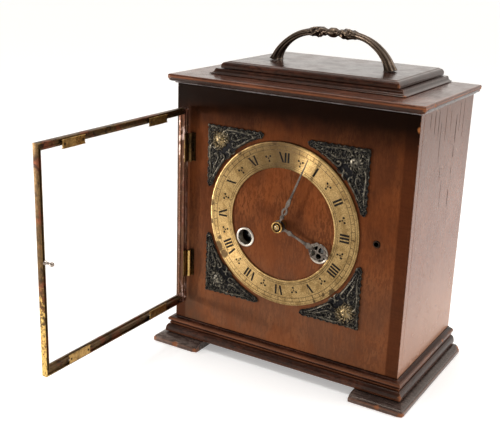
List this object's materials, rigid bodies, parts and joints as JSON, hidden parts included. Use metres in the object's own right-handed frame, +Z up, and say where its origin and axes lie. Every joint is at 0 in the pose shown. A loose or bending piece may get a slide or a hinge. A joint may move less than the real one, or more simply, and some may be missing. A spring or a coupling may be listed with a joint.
{
  "type": "mantel clock",
  "caption": "Mantel clock in a moulded wooden case, with a hinged glass front door, a carrying handle, and a pendulum movement that strikes a coil gong.",
  "frame": {"origin": "bottom centre of the box round the clock with its front door open at a right angle, on the surface it stands on", "axes": "+X to the right of someone facing the dial, +Y from the dial to the back, +Z up"},
  "size_m": [0.2442, 0.3088, 0.2873],
  "materials": {
    "dark_mahogany": "dark mahogany, worn old polish",
    "panel_mahogany": "mahogany veneer, vertical grain, old polish",
    "side_mahogany": "faded mahogany veneer, glossy, scratched",
    "inner_wood": "plain unpolished board",
    "bronze": "dark bronze patina",
    "dial_brass": "grained brass with worn dark patches",
    "aged_brass": "aged brass",
    "frame_brass": "aged brass, coppery inside",
    "glass": "clear",
    "white_metal": "pale nickel",
    "hand_steel": "aged grey steel",
    "movement_brass": "polished brass",
    "steel": "polished steel",
    "blued_steel": "blued",
    "cast_iron": "black"
  },
  "bodies": {
    "case": {"base_board": "dark_mahogany", "plinth_left": "dark_mahogany", "plinth_right": "dark_mahogany", "side_left": "side_mahogany", "side_right": "side_mahogany", "front_panel": "panel_mahogany", "back_frame": "inner_wood", "cornice_fillet": "dark_mahogany", "cornice_plate": "dark_mahogany", "crown_moulding": "dark_mahogany", "crown_top": "dark_mahogany", "carry_handle": "bronze", "chapter_ring": "dial_brass", "spandrel_top_left": "bronze", "spandrel_top_right": "bronze", "spandrel_bottom_left": "bronze", "spandrel_bottom_right": "bronze", "winding_grommet_left": "white_metal", "winding_grommet_right": "white_metal", "catch_bush": "bronze", "hinge_leaf_case_upper": "aged_brass", "hinge_leaf_case_lower": "aged_brass", "back_hinge_case": "aged_brass", "front_plate": "movement_brass", "back_plate": "movement_brass", "gong_coil": "blued_steel", "gong_block": "cast_iron"},
    "front_door": {"door_frame": "frame_brass", "door_glass": "glass", "glass_clip_top_outer": "aged_brass", "glass_clip_top_inner": "aged_brass", "glass_clip_bottom_outer": "aged_brass", "glass_clip_bottom_inner": "aged_brass", "catch_pin": "aged_brass", "hinge_leaf_door_upper": "aged_brass", "hinge_leaf_door_lower": "aged_brass"},
    "back_door": {"back_door": "inner_wood", "back_hinge_door": "aged_brass"},
    "turn_button": {"turn_button": "aged_brass"},
    "minute_hand_group": {"minute_hand": "hand_steel", "cannon_pinion": "movement_brass", "hand_nut": "aged_brass"},
    "motion_wheel": {"minute_wheel": "movement_brass"},
    "hour_hand_group": {"hour_hand": "hand_steel", "hour_wheel": "movement_brass"},
    "going_barrel": {"going_barrel": "movement_brass"},
    "going_second": {"going_second_wheel": "movement_brass"},
    "centre": {"centre_wheel": "movement_brass"},
    "third": {"third_wheel": "movement_brass"},
    "escape": {"escape_wheel": "movement_brass"},
    "anchor": {"anchor": "steel"},
    "pendulum": {"pendulum_rod": "steel", "pendulum_bob": "movement_brass"},
    "strike_barrel": {"strike_barrel": "movement_brass"},
    "strike_second": {"strike_second_wheel": "movement_brass"},
    "strike_pin": {"strike_pin_wheel": "movement_brass"},
    "strike_fly": {"strike_fly": "movement_brass"},
    "strike_hammer": {"strike_hammer": "steel"},
    "going_winder": {"going_winding_arbor": "steel"},
    "strike_winder": {"strike_winding_arbor": "steel"}
  },
  "joints": [
    {"name": "front_door_hinge", "type": "hinge", "parent": "case", "child": "front_door", "pos_m": [-0.092, 0.02195, 0], "axis": [0, 0, 1], "range_deg": [-20, 90]},
    {"name": "back_door_hinge", "type": "hinge", "parent": "case", "child": "back_door", "pos_m": [-0.0837, 0.15285, 0], "axis": [0, 0, 1], "range_deg": [0, 110]},
    {"name": "turn_button_pivot", "type": "hinge", "parent": "case", "child": "turn_button", "pos_m": [0.091, 0.02655, 0.129], "axis": [0, 1, 0], "range_deg": [-90, 90]},
    {"name": "minute_hand_turn", "type": "hinge", "parent": "case", "child": "minute_hand_group", "pos_m": [-0.0018, 0, 0.1317], "axis": [0, 1, 0], "continuous": true},
    {"name": "motion_wheel_turn", "type": "hinge", "parent": "case", "child": "motion_wheel", "pos_m": [-0.0018, 0, 0.1173], "axis": [0, 1, 0], "continuous": true},
    {"name": "hour_hand_turn", "type": "hinge", "parent": "case", "child": "hour_hand_group", "pos_m": [-0.0018, 0, 0.1317], "axis": [0, 1, 0], "continuous": true},
    {"name": "going_barrel_turn", "type": "hinge", "parent": "case", "child": "going_barrel", "pos_m": [0.0332, 0, 0.1139], "axis": [0, 1, 0], "continuous": true},
    {"name": "going_second_turn", "type": "hinge", "parent": "case", "child": "going_second", "pos_m": [0.02016, 0, 0.14257], "axis": [0, 1, 0], "continuous": true},
    {"name": "centre_turn", "type": "hinge", "parent": "case", "child": "centre", "pos_m": [-0.0018, 0, 0.1317], "axis": [0, 1, 0], "continuous": true},
    {"name": "third_turn", "type": "hinge", "parent": "case", "child": "third", "pos_m": [-0.00684, 0, 0.15054], "axis": [0, 1, 0], "continuous": true},
    {"name": "escape_turn", "type": "hinge", "parent": "case", "child": "escape", "pos_m": [-0.0018, 0, 0.1653], "axis": [0, 1, 0], "continuous": true},
    {"name": "anchor_rock", "type": "hinge", "parent": "case", "child": "anchor", "pos_m": [-0.0018, 0, 0.1793], "axis": [0, 1, 0], "range_deg": [-3, 3]},
    {"name": "pendulum_swing", "type": "hinge", "parent": "case", "child": "pendulum", "pos_m": [-0.0018, 0, 0.1793], "axis": [0, 1, 0], "range_deg": [-3, 3]},
    {"name": "strike_barrel_turn", "type": "hinge", "parent": "case", "child": "strike_barrel", "pos_m": [-0.0368, 0, 0.1139], "axis": [0, 1, 0], "continuous": true},
    {"name": "strike_second_turn", "type": "hinge", "parent": "case", "child": "strike_second", "pos_m": [-0.02376, 0, 0.14257], "axis": [0, 1, 0], "continuous": true},
    {"name": "strike_pin_turn", "type": "hinge", "parent": "case", "child": "strike_pin", "pos_m": [-0.02546, 0, 0.16087], "axis": [0, 1, 0], "continuous": true},
    {"name": "strike_fly_turn", "type": "hinge", "parent": "case", "child": "strike_fly", "pos_m": [-0.01591, 0, 0.17041], "axis": [0, 1, 0], "continuous": true},
    {"name": "hammer_lift", "type": "hinge", "parent": "case", "child": "strike_hammer", "pos_m": [-0.0538, 0, 0.1477], "axis": [0, 1, 0], "range_deg": [0, 10], "stiffness_Nm_per_rad": 0.01, "springref_deg": -11.46},
    {"name": "going_winder_turn", "type": "hinge", "parent": "case", "child": "going_winder", "pos_m": [0.0332, 0, 0.1139], "axis": [0, 1, 0], "continuous": true},
    {"name": "strike_winder_turn", "type": "hinge", "parent": "case", "child": "strike_winder", "pos_m": [-0.0368, 0, 0.1139], "axis": [0, 1, 0], "continuous": true}
  ],
  "couplings": [
    {"joint": "motion_wheel_turn", "follows": "minute_hand_turn", "ratio": -0.33333},
    {"joint": "hour_hand_turn", "follows": "minute_hand_turn", "ratio": 0.083333},
    {"joint": "centre_turn", "follows": "third_turn", "ratio": -0.083333},
    {"joint": "going_second_turn", "follows": "third_turn", "ratio": 0.013889},
    {"joint": "going_barrel_turn", "follows": "third_turn", "ratio": -0.0023148},
    {"joint": "escape_turn", "follows": "third_turn", "ratio": -12},
    {"joint": "anchor_rock", "follows": "pendulum_swing", "ratio": 1},
    {"joint": "strike_second_turn", "follows": "strike_pin_turn", "ratio": -0.16667},
    {"joint": "strike_barrel_turn", "follows": "strike_pin_turn", "ratio": 0.027778},
    {"joint": "strike_fly_turn", "follows": "strike_pin_turn", "ratio": -9}
  ]
}
